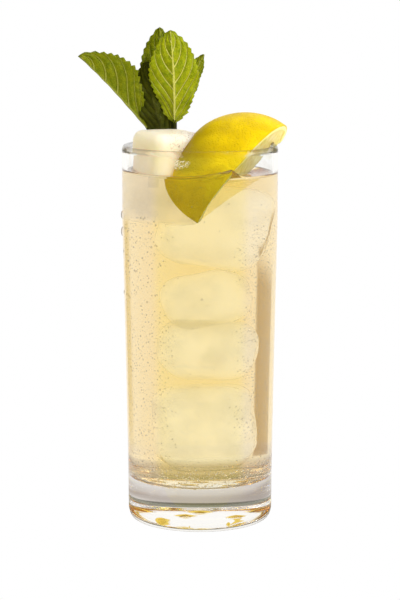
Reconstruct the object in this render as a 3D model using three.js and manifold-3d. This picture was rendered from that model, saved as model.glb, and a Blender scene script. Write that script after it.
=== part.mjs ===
// Moscow mule served long: pale ginger drink in a straight highball glass, with one ice
// block standing out of it, a lemon wedge slit onto the rim and a sprig of mint.
// Millimetres, +Z up. The origin is the middle of the glass's underside and -Y is the front.

import * as THREE from 'three';
import { mergeVertices } from 'three/addons/utils/BufferGeometryUtils.js';
import Module from 'manifold-3d';

const wasm = await Module();
wasm.setup();

// Glass: a 12 oz Collins glass, barrel straight near the rim and drawn in below it.
const GLASS_HEIGHT = 157;
const RIM_RADIUS = 32.2;
const STRAIGHT_FROM = 125;
const HEEL_RADIUS = 30.15;
const HEEL_HEIGHT = 5;
const FOOT_RADIUS = 27.9;
const TAPER_POWER = 1.3;
const WALL = 2.1;
const LIP_HEIGHT = 1.8;
const FLOOR_HEIGHT = 17.3;
const FLOOR_FILLET = 5;
const GLASS_SEGMENTS = 60;
const DIMPLE_RADIUS = 2.9;
const DIMPLE_DEPTH = 0.9;
const DIMPLE_POWER = 1.2;
const DIMPLE_RINGS = [
  { count: 10, radius: 20 },
  { count: 5, radius: 11 },
];

// Drink, filled to 12 mm under the rim.
const DRINK_LEVEL = 145;
const GAP = 0.3;

// Ice block that stands out of the drink, half sizes and place.
const ICE_HALF = new THREE.Vector3(12.6, 12.2, 18.6);
const ICE_ROUND = 4.5;
const ICE_CENTRE = new THREE.Vector3(-13.4, 4.6, 143.7);
const ICE_TURN = 30;
const ICE_LEAN = 2;
const ICE_MELT = 0.35;
const ICE_WALL_GAP = 0.4;

// Lemon wedge: a sector of a whole lemon, its core line from the sunk end to the hanging end.
const LEMON_SUNK_END = new THREE.Vector3(-1, -18.4, 127);
const LEMON_HANGING_END = new THREE.Vector3(35.1, 22, 156.8);
const LEMON_RADIUS = 27.4;
const LEMON_WIDEST = 0.54;
const LEMON_SUNK_POWERS = [2.12, 0.4];
const LEMON_HANGING_POWERS = [1.7, 0.5];
const LEMON_NUB_RADIUS = 6;
const LEMON_NUB_FROM = 0.93;
const WEDGE_ANGLE = 92;
const WEDGE_ROLL = 10.7;
const FRONT_AND_UP = new THREE.Vector3(0, -1, 0.17);

// Mint sprig: the stem stands in the drink behind the ice and carries five leaves.
const STEM_RADIUS = 1.3;
const STEM_ROUTE = [
  [-11.2, 22, 138],
  [-11, 21.8, 152],
  [-10.9, 20.4, 167],
];
const PETIOLE_RADIUS = 0.9;
const LEAF_THICKNESS = 0.7;
const LEAF_TEETH = 16;
const LEAF_CELLS = 3;
const LEAF_WIDEST = 0.5;
const LEAF_TIP_POWER = 0.75;
const LEAF_HEEL = 0.1;
const LEAST_HALF_WIDTH = 0.5;
const TOOTH_DEPTH = 0.048;
const TOOTH_PEAK = 0.7;
const LEAVES = [
  // The upright leaf in front, which shows its underside.
  {
    petiole: [[-11, 21.2, 158], [-10.9, 19.6, 166]],
    midrib: [[-10.9, 19.8, 164.5], [-10.2, 14.5, 182.6], [-12.4, 13, 203.3]],
    side: [1, 0, 0],
    halfWidth: 10.7,
    narrowing: [0.75, 0.58],
    folds: [-10, -14],
    wave: 0.5,
  },
  // The leaf behind it.
  {
    petiole: [[-11.6, 22.3, 150], [-15.5, 24, 161]],
    midrib: [[-14.4, 24, 159.5], [-17.2, 26, 181.9], [-16.9, 21, 204.2]],
    side: [1, 0.25, 0],
    halfWidth: 9,
    narrowing: [0.7, 0.7],
    folds: [-12, -12],
    wave: 0.8,
  },
  // The leaf that reaches out to the left, folded along its midrib.
  {
    petiole: [[-11.8, 22, 149], [-22, 22.6, 162]],
    midrib: [[-21.6, 22.8, 161.4], [-36.9, 18.4, 179], [-50.5, 11, 193.6]],
    side: [0.72, 0.1, 0.69],
    halfWidth: 13.4,
    narrowing: [0.85, 0.95],
    folds: [-108, 6],
    wave: 0.6,
  },
  // The small leaf at the right.
  {
    petiole: [[-11, 21.6, 157], [-11.4, 23, 166]],
    midrib: [[-11.4, 22.9, 165], [-6.5, 26.5, 178], [1.5, 25, 192.8]],
    side: [0.85, 0.3, -0.4],
    halfWidth: 4.8,
    narrowing: [0.7, 0.7],
    folds: [-14, -14],
    wave: 0.4,
  },
  // The shaded leaf between the left one and the upright ones.
  {
    petiole: [[-12, 22.2, 151], [-15.2, 20.1, 160.6]],
    midrib: [[-14.6, 20.4, 158], [-20.2, 18, 174], [-22.6, 19.5, 190]],
    side: [0.95, -0.05, 0.25],
    halfWidth: 8,
    narrowing: [0.25, 0.3],
    folds: [-16, -12],
    wave: 0.7,
  },
];

// Finishes.
const CLEAR_GLASS = { color: 0xeef3f0, roughness: 0.03, metalness: 0, transparent: true, opacity: 0.35 };
const GINGER_DRINK = { color: 0xf0dba6, roughness: 0.05, metalness: 0, transparent: true, opacity: 0.8 };
const ICE = { color: 0xf6ecd6, roughness: 0.15, metalness: 0 };
const LEMON_ZEST = { color: 0xf2cf00, roughness: 0.4, metalness: 0 };
const MINT_LEAF = { color: 0x6f9410, roughness: 0.55, metalness: 0 };

const degrees = THREE.MathUtils.degToRad;

// Turns a closed geometry into a solid, with its faces pointing outwards.
function solidFrom(geometry) {
  const bare = geometry.index ? geometry.toNonIndexed() : geometry.clone();
  for (const name of Object.keys(bare.attributes)) {
    if (name !== 'position') bare.deleteAttribute(name);
  }
  const merged = mergeVertices(bare, 1e-4);
  const position = merged.attributes.position;
  const corners = [];
  for (let i = 0; i < merged.index.count; i += 3) {
    const [a, b, c] = [0, 1, 2].map((k) => merged.index.getX(i + k));
    if (a !== b && b !== c && c !== a) corners.push(a, b, c);
  }
  const [p, q, r] = [new THREE.Vector3(), new THREE.Vector3(), new THREE.Vector3()];
  let volume = 0;
  for (let i = 0; i < corners.length; i += 3) {
    p.fromBufferAttribute(position, corners[i]);
    q.fromBufferAttribute(position, corners[i + 1]);
    r.fromBufferAttribute(position, corners[i + 2]);
    volume += p.dot(q.cross(r));
  }
  if (volume < 0) corners.reverse();
  return new wasm.Manifold(new wasm.Mesh({
    numProp: 3,
    vertProperties: new Float32Array(position.array),
    triVerts: new Uint32Array(corners),
  }));
}

// Keeps a solid's main body and drops any loose scrap that a cut leaves.
function mainBody(solid) {
  const bodies = solid.decompose();
  return bodies.reduce((best, body) => (body.volume() > best.volume() ? body : best));
}

function meshFrom(solid, name, finish) {
  const mesh = solid.getMesh();
  const geometry = new THREE.BufferGeometry();
  geometry.setAttribute('position', new THREE.BufferAttribute(mesh.vertProperties, 3));
  geometry.setIndex(new THREE.BufferAttribute(mesh.triVerts, 1));
  geometry.computeVertexNormals();
  const result = new THREE.Mesh(geometry, new THREE.MeshStandardMaterial(finish));
  result.name = name;
  return result;
}

// A body turned round the Z axis from a profile of [radius, height] points.
function turned(profile, segments = GLASS_SEGMENTS) {
  const points = profile.map(([radius, height]) => new THREE.Vector2(radius, height));
  const geometry = new THREE.LatheGeometry(points, segments);
  geometry.rotateX(Math.PI / 2);
  return solidFrom(geometry);
}

// A closed body through rings of points, each ring with as many points as the next.
function lofted(rings) {
  const count = rings[0].length;
  const points = rings.flat();
  const triangles = [];
  for (let i = 0; i + 1 < rings.length; i += 1) {
    for (let j = 0; j < count; j += 1) {
      const a = i * count + j;
      const b = i * count + ((j + 1) % count);
      triangles.push(a, b, a + count, b, b + count, a + count);
    }
  }
  for (const [start, flip] of [[0, true], [(rings.length - 1) * count, false]]) {
    const centre = points.length;
    points.push(rings[start / count].reduce((sum, p) => sum.add(p), new THREE.Vector3()).divideScalar(count));
    for (let j = 0; j < count; j += 1) {
      const a = start + j;
      const b = start + ((j + 1) % count);
      triangles.push(...(flip ? [b, a, centre] : [a, b, centre]));
    }
  }
  const geometry = new THREE.BufferGeometry().setFromPoints(points);
  geometry.setIndex(triangles);
  return solidFrom(geometry);
}

// Points of [radius, height] on an ellipse, from a start to an end angle.
function arcPoints(centreRadius, centreHeight, width, height, from, to, steps) {
  return Array.from({ length: steps + 1 }, (_, i) => {
    const angle = degrees(from + ((to - from) * i) / steps);
    return [centreRadius + width * Math.cos(angle), centreHeight + height * Math.sin(angle)];
  });
}

// Glass

function outerRadius(height) {
  const climb = THREE.MathUtils.clamp((height - HEEL_HEIGHT) / (STRAIGHT_FROM - HEEL_HEIGHT), 0, 1);
  return HEEL_RADIUS + (RIM_RADIUS - HEEL_RADIUS) * climb ** TAPER_POWER;
}

function innerRadius(height) {
  return outerRadius(height) - WALL;
}

const WALL_HEIGHTS = [30, 55, 80, 103, STRAIGHT_FROM];

// The inside of the glass up to a height, smaller all round by a clearance.
function boreProfile(top, clearance) {
  const fillet = FLOOR_FILLET - clearance;
  const wallRadius = innerRadius(FLOOR_HEIGHT + FLOOR_FILLET) - clearance;
  const floor = FLOOR_HEIGHT + clearance;
  return [
    [0, floor],
    ...arcPoints(wallRadius - fillet, floor + fillet, fillet, fillet, -90, 0, 4),
    ...WALL_HEIGHTS.filter((z) => z < top).map((z) => [innerRadius(z) - clearance, z]),
    [innerRadius(top) - clearance, top],
  ];
}

function dimpleCuts() {
  const profile = [[0, -1], [DIMPLE_RADIUS, -1], [DIMPLE_RADIUS, 0]];
  for (const part of [0.66, 0.33, 0]) {
    profile.push([DIMPLE_RADIUS * part, DIMPLE_DEPTH * (1 - part ** DIMPLE_POWER)]);
  }
  const dimple = turned(profile, 10);
  return DIMPLE_RINGS.flatMap(({ count, radius }) => Array.from({ length: count }, (_, i) => {
    const angle = (2 * Math.PI * (i + 0.5)) / count;
    return dimple.translate([radius * Math.cos(angle), radius * Math.sin(angle), 0]);
  }));
}

function glassSolid() {
  const heel = arcPoints(FOOT_RADIUS, HEEL_HEIGHT, HEEL_RADIUS - FOOT_RADIUS, HEEL_HEIGHT, -90, 0, 4);
  const lip = WALL / 2;
  const rim = arcPoints(RIM_RADIUS - lip, GLASS_HEIGHT - LIP_HEIGHT, lip, LIP_HEIGHT, 0, 180, 6);
  const inside = boreProfile(STRAIGHT_FROM, 0).reverse();
  const profile = [[0, 0], ...heel, ...WALL_HEIGHTS.map((z) => [outerRadius(z), z]), ...rim, ...inside];
  return dimpleCuts().reduce((glass, dimple) => glass.subtract(dimple), turned(profile));
}

// The upper wall, larger all round by a clearance: the room that the rim takes up in the lemon.
function rimRoom(clearance) {
  const low = WALL_HEIGHTS[3];
  const top = GLASS_HEIGHT + clearance;
  const inner = innerRadius(low) - clearance;
  const innerTop = innerRadius(top) - clearance;
  const outer = outerRadius(low) + clearance;
  const outerTop = RIM_RADIUS + clearance;
  return turned([
    [inner, low],
    [outer, low],
    [outerTop, STRAIGHT_FROM],
    [outerTop, top],
    [innerTop, top],
    [innerTop, STRAIGHT_FROM],
    [inner, low],
  ]);
}

// Lemon wedge

function lemonRadius(t) {
  const sunk = t < LEMON_WIDEST;
  const along = sunk ? (LEMON_WIDEST - t) / LEMON_WIDEST : (t - LEMON_WIDEST) / (1 - LEMON_WIDEST);
  const [power, bluntness] = sunk ? LEMON_SUNK_POWERS : LEMON_HANGING_POWERS;
  const body = LEMON_RADIUS * Math.max(0, 1 - along ** power) ** bluntness;
  if (t <= LEMON_NUB_FROM) return body;
  const nub = LEMON_NUB_RADIUS * Math.sqrt(Math.max(0, 1 - ((t - LEMON_NUB_FROM) / (1 - LEMON_NUB_FROM)) ** 2));
  return Math.max(body, nub);
}

// The wedge, larger all round by a clearance.
function wedgeSolid(clearance) {
  const steps = 22;
  const arcSteps = 12;
  const core = LEMON_HANGING_END.clone().sub(LEMON_SUNK_END);
  const length = core.length();
  const along = core.normalize();
  const front = FRONT_AND_UP.clone();
  front.addScaledVector(along, -front.dot(along)).normalize();
  const up = new THREE.Vector3().crossVectors(along, front);
  if (up.z < 0) up.negate();
  const first = degrees(WEDGE_ROLL);
  const last = degrees(WEDGE_ROLL + WEDGE_ANGLE);
  const outwards = (angle) => front.clone().multiplyScalar(Math.cos(angle)).addScaledVector(up, Math.sin(angle));
  const edgeShift = outwards((first + last) / 2).multiplyScalar(-clearance / Math.sin((last - first) / 2));
  const rings = [];
  for (let i = 0; i <= steps; i += 1) {
    const t = 0.004 + (0.992 * (1 - Math.cos((Math.PI * i) / steps))) / 2;
    const stretch = (t - 0.5) * (length + 2 * clearance) + length / 2;
    const centre = LEMON_SUNK_END.clone().addScaledVector(along, stretch);
    const radius = lemonRadius(t) + clearance;
    const widen = Math.asin(Math.min(1, clearance / radius));
    const ring = [centre.clone().add(edgeShift)];
    for (let j = 0; j <= arcSteps; j += 1) {
      const angle = first - widen + ((last - first + 2 * widen) * j) / arcSteps;
      ring.push(centre.clone().addScaledVector(outwards(angle), radius));
    }
    rings.push(ring);
  }
  return lofted(rings);
}

// Ice

// A block with rounded edges, softened by melting, larger all round by a clearance.
function iceSolid(clearance) {
  const cells = 8;
  const geometry = new THREE.BoxGeometry(2, 2, 2, cells, cells, cells);
  const position = geometry.attributes.position;
  const half = ICE_HALF.clone().addScalar(clearance);
  const round = ICE_ROUND + clearance;
  const core = half.clone().subScalar(round);
  const turn = new THREE.Matrix4().makeRotationFromEuler(
    new THREE.Euler(degrees(ICE_LEAN), degrees(ICE_LEAN), degrees(ICE_TURN), 'ZYX'),
  );
  const point = new THREE.Vector3();
  const inner = new THREE.Vector3();
  for (let i = 0; i < position.count; i += 1) {
    point.fromBufferAttribute(position, i);
    for (const axis of ['x', 'y', 'z']) point[axis] = Math.sin((point[axis] * Math.PI) / 2) * half[axis];
    inner.copy(point).clamp(core.clone().negate(), core);
    point.sub(inner).setLength(round).add(inner);
    const melt = Math.sin(point.x * 0.31 + 1) * Math.sin(point.y * 0.27) * Math.cos(point.z * 0.21 + 0.5);
    point.multiplyScalar(1 + (ICE_MELT * melt) / ICE_HALF.x);
    point.applyMatrix4(turn).add(ICE_CENTRE);
    position.setXYZ(i, point.x, point.y, point.z);
  }
  return solidFrom(geometry);
}

// Mint

function tubeSolid(route, radius, steps) {
  const path = new THREE.CatmullRomCurve3(route.map((p) => new THREE.Vector3(...p)));
  const section = new THREE.Shape();
  section.absarc(0, 0, radius, 0, 2 * Math.PI, false);
  const geometry = new THREE.ExtrudeGeometry(section, { steps, extrudePath: path, curveSegments: 4 });
  return solidFrom(geometry);
}

// Half width of a mint leaf along its midrib, as a share of the widest.
function leafHalfWidth(t, narrowing) {
  if (t > LEAF_WIDEST) return Math.max(0, 1 - ((t - LEAF_WIDEST) / (1 - LEAF_WIDEST)) ** 2) ** LEAF_TIP_POWER;
  const heel = Math.min(1, t / LEAF_HEEL) ** 0.5;
  return (1 - narrowing * ((LEAF_WIDEST - t) / LEAF_WIDEST) ** 1.1) * heel;
}

function leafSolid({ midrib, side, halfWidth, narrowing, folds, wave }) {
  const curve = new THREE.QuadraticBezierCurve3(...midrib.map((p) => new THREE.Vector3(...p)));
  const rings = [];
  for (let i = 0; i <= 2 * LEAF_TEETH; i += 1) {
    const atPeak = i % 2 === 1;
    const t = (Math.floor(i / 2) + (atPeak ? TOOTH_PEAK : 0)) / LEAF_TEETH;
    const bite = halfWidth * TOOTH_DEPTH * (atPeak ? 1 : -1);
    const widths = narrowing.map((share) => Math.max(halfWidth * leafHalfWidth(t, share) + bite, LEAST_HALF_WIDTH));
    const middle = curve.getPoint(t);
    const along = curve.getTangent(t);
    const across = new THREE.Vector3(...side);
    across.addScaledVector(along, -across.dot(along)).normalize();
    const face = new THREE.Vector3().crossVectors(across, along).normalize();
    const place = (cell, offset) => {
      const reach = (cell / LEAF_CELLS) * widths[cell < 0 ? 0 : 1];
      const fold = degrees(reach < 0 ? folds[0] : folds[1]);
      const ripple = wave * Math.sin(7 * t * Math.PI + (reach < 0 ? 0 : 2)) * (cell / LEAF_CELLS) ** 2;
      const outward = across.clone().multiplyScalar(Math.sign(reach) * Math.cos(fold));
      outward.addScaledVector(face, Math.sin(fold));
      const normal = face.clone().multiplyScalar(Math.cos(fold));
      normal.addScaledVector(across, -Math.sign(reach) * Math.sin(fold));
      return middle.clone()
        .addScaledVector(outward, Math.abs(reach))
        .addScaledVector(normal, ripple + offset);
    };
    const upper = [];
    const lower = [];
    for (let cell = -LEAF_CELLS; cell <= LEAF_CELLS; cell += 1) {
      upper.push(place(cell, LEAF_THICKNESS / 2));
      lower.unshift(place(cell, -LEAF_THICKNESS / 2));
    }
    rings.push([...upper, ...lower]);
  }
  return lofted(rings);
}

function mintSolid() {
  const sprig = LEAVES.reduce(
    (grown, leaf) => grown.add(tubeSolid(leaf.petiole, PETIOLE_RADIUS, 3)).add(leafSolid(leaf)),
    tubeSolid(STEM_ROUTE, STEM_RADIUS, 6),
  );
  return mainBody(sprig);
}

// Drink, cut round what stands in it.
function drinkSolid() {
  const body = turned([...boreProfile(DRINK_LEVEL, GAP), [0, DRINK_LEVEL]]);
  const stem = tubeSolid(STEM_ROUTE, STEM_RADIUS + GAP, 6);
  return mainBody(body.subtract(iceSolid(GAP)).subtract(wedgeSolid(GAP)).subtract(stem));
}

function iceBlock() {
  const top = GLASS_HEIGHT + ICE_HALF.z;
  const bore = turned([...boreProfile(top, ICE_WALL_GAP), [0, top]]);
  const stem = tubeSolid(STEM_ROUTE, STEM_RADIUS + GAP, 6);
  return mainBody(iceSolid(0).intersect(bore).subtract(wedgeSolid(GAP)).subtract(stem));
}

const mule = new THREE.Group();
mule.name = 'moscow_mule';
mule.add(
  meshFrom(glassSolid(), 'glass', CLEAR_GLASS),
  meshFrom(drinkSolid(), 'drink', GINGER_DRINK),
  meshFrom(iceBlock(), 'ice_block', ICE),
  meshFrom(mainBody(wedgeSolid(0).subtract(rimRoom(GAP))), 'lemon_wedge', LEMON_ZEST),
  meshFrom(mintSolid(), 'mint_sprig', MINT_LEAF),
);

export default mule;
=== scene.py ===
import math
import random

import bmesh
import bpy
from mathutils import Euler, Matrix, Vector, noise


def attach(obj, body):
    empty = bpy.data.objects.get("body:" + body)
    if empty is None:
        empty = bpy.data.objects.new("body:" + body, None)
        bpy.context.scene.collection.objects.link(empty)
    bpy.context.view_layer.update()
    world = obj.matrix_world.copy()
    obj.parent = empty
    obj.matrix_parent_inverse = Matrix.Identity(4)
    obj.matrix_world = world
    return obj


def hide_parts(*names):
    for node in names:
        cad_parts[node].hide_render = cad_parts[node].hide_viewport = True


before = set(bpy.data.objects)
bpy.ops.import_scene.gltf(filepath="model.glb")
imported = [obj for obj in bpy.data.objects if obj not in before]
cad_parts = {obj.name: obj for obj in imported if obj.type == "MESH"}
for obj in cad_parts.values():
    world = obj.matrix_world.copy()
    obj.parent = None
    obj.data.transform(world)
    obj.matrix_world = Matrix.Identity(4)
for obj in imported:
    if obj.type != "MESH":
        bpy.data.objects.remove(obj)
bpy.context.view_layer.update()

# Studio: a white room as for a cut-out product picture, bright behind the drink and dim in front,
# with a light panel and a soft lamp at the upper right and a warm floor. A dark card stands far
# behind on the left, which the round drink shows as a strip on its right.
MM = 0.001
SCENE = bpy.context.scene
CAMERA_PLACE = Vector((0.0, -870.0, 237.6)) * MM
CAMERA_PITCH = math.radians(9.5)
CAMERA_LENS = 126.84
BACK_LIGHT = 1.05
FRONT_LIGHT = 0.36
LEFT_LIGHT = 0.1
PANEL_SIDE = Vector((0.72, -0.5, 0.48)).normalized()
PANEL_LIGHT = 1.7


def linear(code):
    """The linear RGBA of an sRGB hex colour."""
    values = [int(code[i:i + 2], 16) / 255 for i in (1, 3, 5)]
    return tuple(v / 12.92 if v <= 0.04045 else ((v + 0.055) / 1.055) ** 2.4 for v in values) + (1.0,)


def add_node(tree, kind, inputs=None, stops=None, **settings):
    """Adds a node with its settings, its socket values or what feeds them, and its ramp stops."""
    node = tree.nodes.new(kind)
    for name, value in settings.items():
        setattr(node, name, value)
    for name, value in (inputs or {}).items():
        if isinstance(value, bpy.types.NodeSocket):
            tree.links.new(value, node.inputs[name])
        else:
            node.inputs[name].default_value = value
    for i, (place, colour) in enumerate(stops or []):
        ramp = node.color_ramp.elements
        stop = ramp[i] if i < 2 else ramp.new(place)
        stop.position = place
        stop.color = colour
    return node


def maths(tree, operation, *values):
    """One sum on values or sockets."""
    return add_node(tree, "ShaderNodeMath", dict(enumerate(values)), operation=operation).outputs[0]


def ranged(tree, value, low, high, start=0.0, end=1.0, course="LINEAR"):
    """A value carried over from one range to another, and kept inside it."""
    span = {"Value": value, "From Min": low, "From Max": high, "To Min": start, "To Max": end}
    return add_node(tree, "ShaderNodeMapRange", span, interpolation_type=course).outputs[0]


def eased(tree, value, low, high, start=0.0, end=1.0):
    """The same with a soft start and end."""
    return ranged(tree, value, low, high, start, end, "SMOOTHSTEP")


def mixed_colour(tree, share, first, second):
    """The first colour where the share is 0, the second where it is 1."""
    return add_node(tree, "ShaderNodeMix", {0: share, 6: first, 7: second}, data_type="RGBA").outputs[2]


def scaled(tree, colour, level):
    """A colour or a vector, times a level."""
    levels = {0: colour, "Scale": level}
    return add_node(tree, "ShaderNodeVectorMath", levels, operation="SCALE").outputs[0]


CARD_AZIMUTH = -37.0
CARD_HALF_WIDTH = 12.0
CARD_LIGHT = linear("#BDA271")
FLOOR_LIGHT = (1.22, 1.1, 0.12, 1.0)
CARD_TOP = math.sin(math.radians(-6.8))
CARD_SOFT_TOP = math.sin(math.radians(-8.0))
CARD_SOFT_FOOT = math.sin(math.radians(-12.6))
CARD_FOOT = math.sin(math.radians(-15.2))

camera = bpy.data.cameras.new("camera")
camera.lens = CAMERA_LENS
camera.sensor_width = 36.0
camera.clip_start = 0.01
camera_object = bpy.data.objects.new("camera", camera)
camera_object.location = CAMERA_PLACE
camera_object.rotation_euler = (math.pi / 2 - CAMERA_PITCH, 0.0, 0.0)
SCENE.collection.objects.link(camera_object)
SCENE.camera = camera_object
SCENE.view_settings.view_transform = "Standard"
SCENE.cycles.max_bounces = 64
SCENE.cycles.transmission_bounces = 64
SCENE.cycles.glossy_bounces = 40
SCENE.cycles.transparent_max_bounces = 32

world = bpy.data.worlds.new("studio_light")
SCENE.world = world
world.use_nodes = True
tree = world.node_tree
tree.nodes.clear()
direction = add_node(tree, "ShaderNodeTexCoord").outputs["Generated"]
part = add_node(tree, "ShaderNodeSeparateXYZ", {0: direction})
white = linear("#FFFBF7")
leftwards = eased(tree, part.outputs["X"], 0.1, -0.6, FRONT_LIGHT, LEFT_LIGHT)
beside_panel = add_node(
    tree, "ShaderNodeVectorMath", {0: direction, 1: PANEL_SIDE}, operation="DOT_PRODUCT"
)
panel = eased(tree, beside_panel.outputs["Value"], 0.72, 0.9, 0.0, PANEL_LIGHT)
front_level = maths(tree, "ADD", leftwards, panel)
front_room = scaled(tree, white[:3], front_level)
low = eased(tree, part.outputs["Z"], 0.05, -0.08)
front = mixed_colour(tree, low, front_room, FLOOR_LIGHT)
back_room = scaled(tree, white[:3], BACK_LIGHT)
forwards = eased(tree, part.outputs["Y"], -0.1, -0.5)
room = mixed_colour(tree, forwards, back_room, front)
azimuth = maths(tree, "ARCTAN2", part.outputs["X"], part.outputs["Y"])
from_card = maths(tree, "SUBTRACT", azimuth, math.radians(CARD_AZIMUTH))
off_card = maths(tree, "ABSOLUTE", from_card)
beside_card = eased(tree, off_card, math.radians(0.75 * CARD_HALF_WIDTH), math.radians(CARD_HALF_WIDTH))
above_card = eased(tree, part.outputs["Z"], CARD_SOFT_TOP, CARD_TOP)
below_card = eased(tree, part.outputs["Z"], CARD_SOFT_FOOT, CARD_FOOT)
past_edge = maths(tree, "MAXIMUM", beside_card, above_card)
past_card = maths(tree, "MAXIMUM", past_edge, below_card)
seen_directly = add_node(tree, "ShaderNodeLightPath").outputs["Is Camera Ray"]
carded = mixed_colour(tree, past_card, CARD_LIGHT, room)
colour = mixed_colour(tree, seen_directly, carded, linear("#FFFFFF"))
light = add_node(tree, "ShaderNodeBackground", {"Color": colour, "Strength": 1.0})
add_node(tree, "ShaderNodeOutputWorld", {"Surface": light.outputs[0]})

# The table behind and under the glass, which only the glass's own foot shows: dark round the
# foot, where it touches, and grey in the soft shadow that falls to one side.
SHADOW_RADIUS = 130.0
SHADOW_MIDDLE = (-16.0, 2.0, 0.0)
shadow_mesh = bpy.data.meshes.new("contact_shadow")
half_turn = [math.pi * (i / 48 * 1.3 - 0.15) for i in range(49)]
edge = [(SHADOW_RADIUS * MM * math.cos(a), SHADOW_RADIUS * MM * math.sin(a), 0.0) for a in half_turn]
shadow_mesh.from_pydata(edge, [], [range(len(edge))])
shadow = bpy.data.objects.new("contact_shadow", shadow_mesh)
shadow.location.z = -0.02 * MM
SCENE.collection.objects.link(shadow)


def new_material(name):
    """An empty material and its node tree."""
    material = bpy.data.materials.new(name)
    material.use_nodes = True
    material.node_tree.nodes.clear()
    return material, material.node_tree


def place_in_millimetres(tree):
    """Where a point is on the whole drink, in millimetres."""
    spot = add_node(tree, "ShaderNodeTexCoord").outputs["Object"]
    return scaled(tree, spot, 1 / MM)


def see_through(tree, colour="#FFFFFF"):
    return add_node(tree, "ShaderNodeBsdfTransparent", {"Color": linear(colour)}).outputs[0]


def mixed_shader(tree, share, first, second):
    return add_node(tree, "ShaderNodeMixShader", {0: share, 1: first, 2: second}).outputs[0]


def dress(tree, surface, volume=None):
    """Gives a material its surface, and its volume where it has one."""
    parts = {"Surface": surface}
    if volume:
        parts["Volume"] = volume
    add_node(tree, "ShaderNodeOutputMaterial", parts)


# What the foot shows of the table, as plain light: no camera ray meets it.
table_shadow, tree = new_material("table_shadow")
table_place = place_in_millimetres(tree)
from_shadow = add_node(
    tree, "ShaderNodeVectorMath", {0: table_place, 1: SHADOW_MIDDLE}, operation="DISTANCE",
)
outwards = maths(tree, "DIVIDE", from_shadow.outputs["Value"], SHADOW_RADIUS)
shade = add_node(
    tree, "ShaderNodeValToRGB", {"Fac": outwards},
    stops=[(0.36, linear("#ADA096")), (0.42, linear("#D2C8C0")), (0.75, linear("#FFFFFF"))],
)
from_glass = add_node(tree, "ShaderNodeVectorMath", {0: table_place}, operation="LENGTH")
outwards = maths(tree, "DIVIDE", from_glass.outputs["Value"], SHADOW_RADIUS)
contact = add_node(
    tree, "ShaderNodeValToRGB", {"Fac": outwards},
    stops=[
        (0.18, linear("#E4DCD2")), (0.21, linear("#8C8670")),
        (0.26, linear("#8C8670")), (0.29, linear("#FFFFFF")),
    ],
)
table = add_node(
    tree, "ShaderNodeVectorMath", {0: shade.outputs[0], 1: contact.outputs[0]}, operation="MULTIPLY"
)
seen_directly = add_node(tree, "ShaderNodeLightPath").outputs["Is Camera Ray"]
glow = add_node(tree, "ShaderNodeEmission", {"Color": table.outputs[0], "Strength": 1.0})
nothing = see_through(tree)
lit = eased(tree, from_shadow.outputs["Value"], 0.55 * SHADOW_RADIUS, 0.85 * SHADOW_RADIUS)
unseen = maths(tree, "MAXIMUM", seen_directly, lit)
shown = mixed_shader(tree, unseen, glow.outputs[0], nothing)
dress(tree, shown)
shadow_mesh.materials.append(table_shadow)

# A softbox on the upper right, aimed at the rim.
LAMP_PLACE = Vector((700.0, -600.0, 950.0)) * MM
LAMP_AIM = Vector((0.0, 0.0, 160.0)) * MM
LAMP_SIZE = 220.0
LAMP_WATTS = 9.0
lamp = bpy.data.lights.new("soft_lamp", "AREA")
lamp.shape = "RECTANGLE"
lamp.size = LAMP_SIZE * MM
lamp.size_y = LAMP_SIZE * MM
lamp.energy = LAMP_WATTS
lamp_object = bpy.data.objects.new("soft_lamp", lamp)
lamp_object.location = LAMP_PLACE
aim = LAMP_AIM - LAMP_PLACE
lamp_object.rotation_euler = aim.to_track_quat("-Z", "Y").to_euler()
SCENE.collection.objects.link(lamp_object)

# Glass: a pressed soda-lime highball, straight near the rim and drawn in towards a heavy foot.
# One turned wall with a fire-polished lip, a filleted floor and two rings of shallow dimples
# pressed into the underside, round a plain middle that it stands on.
GLASS_HEIGHT = 157.0
RIM_RADIUS = 32.2
STRAIGHT_FROM = 125.0
HEEL_RADIUS = 30.15
HEEL_HEIGHT = 5.0
FOOT_RADIUS = 27.9
TAPER_POWER = 1.3
WALL = 2.1
LIP_HEIGHT = 1.8
FLOOR_HEIGHT = 17.3
FLOOR_FILLET = 5.0
GLASS_SEGMENTS = 180
DIMPLE_RADIUS = 2.9
DIMPLE_DEPTH = 0.9
DIMPLE_POWER = 1.2
DIMPLE_RINGS = ((10, 20.0), (5, 11.0))


def outer_radius(height):
    """The glass's outside, which widens from the heel to the straight part."""
    climb = min(1.0, max(0.0, (height - HEEL_HEIGHT) / (STRAIGHT_FROM - HEEL_HEIGHT)))
    return HEEL_RADIUS + (RIM_RADIUS - HEEL_RADIUS) * climb ** TAPER_POWER


def inner_radius(height):
    return outer_radius(height) - WALL


def arc(centre, size, start, end, steps):
    """Points of [radius, height] round a centre, from a start to an end angle in degrees."""
    turns = [math.radians(start + (end - start) * i / steps) for i in range(steps + 1)]
    return [(centre[0] + size[0] * math.cos(a), centre[1] + size[1] * math.sin(a)) for a in turns]


def bore(top, reach, steps=60):
    """The inside of the glass from the middle of its floor up to a height, larger by a reach."""
    wall = inner_radius(FLOOR_HEIGHT + FLOOR_FILLET) + reach
    fillet = FLOOR_FILLET + reach
    floor_z = FLOOR_HEIGHT - reach
    ledge = [(wall - fillet) * i / 14 for i in range(14)]
    above_fillet = FLOOR_HEIGHT + FLOOR_FILLET
    rise = [above_fillet + (top - FLOOR_HEIGHT - FLOOR_FILLET) * i / steps for i in range(1, steps + 1)]
    return (
        [(r, floor_z) for r in ledge]
        + arc((wall - fillet, floor_z + fillet), (fillet, fillet), -90, 0, 12)
        + [(inner_radius(z) + reach, z) for z in rise]
    )


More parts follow.
